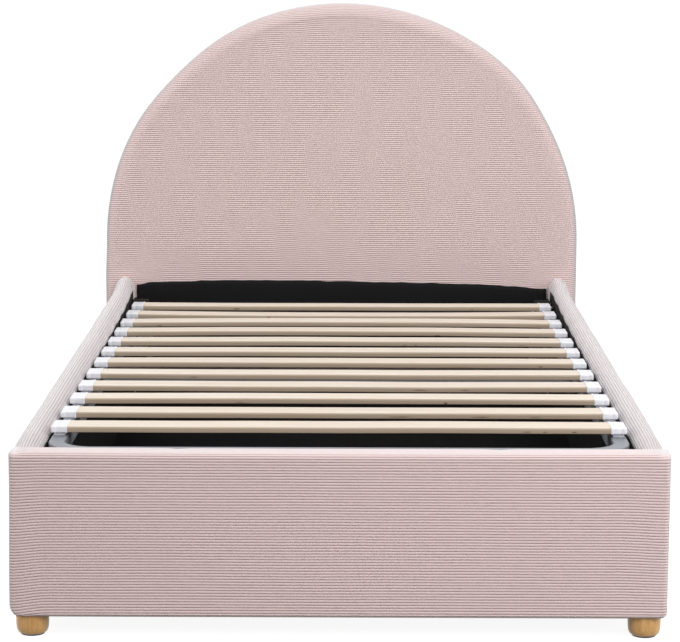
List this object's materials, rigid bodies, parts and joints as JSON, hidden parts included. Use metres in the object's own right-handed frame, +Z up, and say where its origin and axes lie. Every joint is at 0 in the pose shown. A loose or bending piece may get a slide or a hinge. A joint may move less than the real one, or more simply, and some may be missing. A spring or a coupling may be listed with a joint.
{
  "type": "storage bed",
  "caption": "Upholstered storage bed with an arched ribbed headboard and a hinged slatted platform that lifts on gas struts over a storage space.",
  "frame": {"origin": "on the floor, at the middle of the bed's footprint", "axes": "+X across the bed, +Y along it towards the headboard, +Z up"},
  "size_m": [1.264, 2.184, 1.0788],
  "materials": {
    "cord_fabric": "pale pink ribbed cord velvet over foam",
    "black_lining": "thin black non-woven cloth",
    "core_board": "raw particle board",
    "core_timber": "planed softwood",
    "floor_board": "thin board with a dark grey face",
    "foot_wood": "turned wood, satin lacquer",
    "slat_wood": "pale sanded wood with small knots",
    "cap_plastic": "moulded white plastic",
    "glide_plastic": "black plastic",
    "rest_rubber": "black rubber",
    "grey_steel": "satin grey powder coat",
    "black_steel": "black powder coat",
    "strut_body": "gloss black paint",
    "strut_rod": "polished chrome",
    "zinc_fastener": "zinc plate",
    "zinc_bracket": "pressed zinc-plated steel"
  },
  "bodies": {
    "base": {"corner_bolts": "zinc_fastener", "corner_brackets": "zinc_bracket", "floor_beam": "core_timber", "floor_beam_legs": "core_timber", "foot_glides": "glide_plastic", "foot_panel_core": "core_board", "foot_panel_cover": "cord_fabric", "foot_panel_lining": "black_lining", "foot_studs": "zinc_fastener", "front_left_foot": "foot_wood", "front_right_foot": "foot_wood", "headboard_back_cloth": "black_lining", "headboard_cover": "cord_fabric", "headboard_lining": "black_lining", "headboard_panel": "core_board", "hinge_pins": "zinc_fastener", "hinge_screws": "zinc_fastener", "left_floor_ledge": "core_timber", "left_hinge_plate": "black_steel", "left_rail_core": "core_board", "left_rail_cover": "cord_fabric", "left_rail_lining": "black_lining", "platform_rests": "rest_rubber", "rear_left_foot": "foot_wood", "rear_right_foot": "foot_wood", "right_floor_ledge": "core_timber", "right_hinge_plate": "black_steel", "right_rail_core": "core_board", "right_rail_cover": "cord_fabric", "right_rail_lining": "black_lining", "storage_floor_front": "floor_board", "storage_floor_rear": "floor_board"},
    "platform": {"frame_front_bow": "grey_steel", "frame_middle_tube": "grey_steel", "frame_rear_tube": "grey_steel", "left_frame_tube": "grey_steel", "left_lift_arm": "black_steel", "left_slat_caps": "cap_plastic", "left_strut_bracket": "grey_steel", "lift_arm_bolts": "zinc_fastener", "right_frame_tube": "grey_steel", "right_lift_arm": "black_steel", "right_slat_caps": "cap_plastic", "right_strut_bracket": "grey_steel", "slat_01": "slat_wood", "slat_02": "slat_wood", "slat_03": "slat_wood", "slat_04": "slat_wood", "slat_05": "slat_wood", "slat_06": "slat_wood", "slat_07": "slat_wood", "slat_08": "slat_wood", "slat_09": "slat_wood", "slat_10": "slat_wood", "slat_11": "slat_wood", "slat_12": "slat_wood"},
    "left_cylinder": {"left_strut_cylinder": "strut_body"},
    "left_rod": {"left_strut_rod": "strut_rod"},
    "right_cylinder": {"right_strut_cylinder": "strut_body"},
    "right_rod": {"right_strut_rod": "strut_rod"}
  },
  "joints": [
    {"name": "platform_lift", "type": "hinge", "parent": "base", "child": "platform", "pos_m": [0, 0.863, 0.2835], "axis": [-1, 0, 0], "range_deg": [-1.2, 45]},
    {"name": "left_strut_swing", "type": "hinge", "parent": "base", "child": "left_cylinder", "pos_m": [-0.5225, 0.873, 0.1535], "axis": [-1, 0, 0], "range_deg": [-0.98, 36.58]},
    {"name": "left_strut_slide", "type": "slide", "parent": "left_cylinder", "child": "left_rod", "axis": [0, -0.9668, 0.2555], "range_m": [-0.00212, 0.07944]},
    {"name": "right_strut_swing", "type": "hinge", "parent": "base", "child": "right_cylinder", "pos_m": [0.5225, 0.873, 0.1535], "axis": [-1, 0, 0], "range_deg": [-0.98, 36.58]},
    {"name": "right_strut_slide", "type": "slide", "parent": "right_cylinder", "child": "right_rod", "axis": [0, -0.9668, 0.2555], "range_m": [-0.00212, 0.07944]}
  ],
  "couplings": [
    {"joint": "left_strut_swing", "follows": "platform_lift", "ratio": 0.81257},
    {"joint": "left_strut_slide", "follows": "platform_lift", "m_per_rad": 0.1011},
    {"joint": "right_strut_swing", "follows": "platform_lift", "ratio": 0.81257},
    {"joint": "right_strut_slide", "follows": "platform_lift", "m_per_rad": 0.1011}
  ]
}
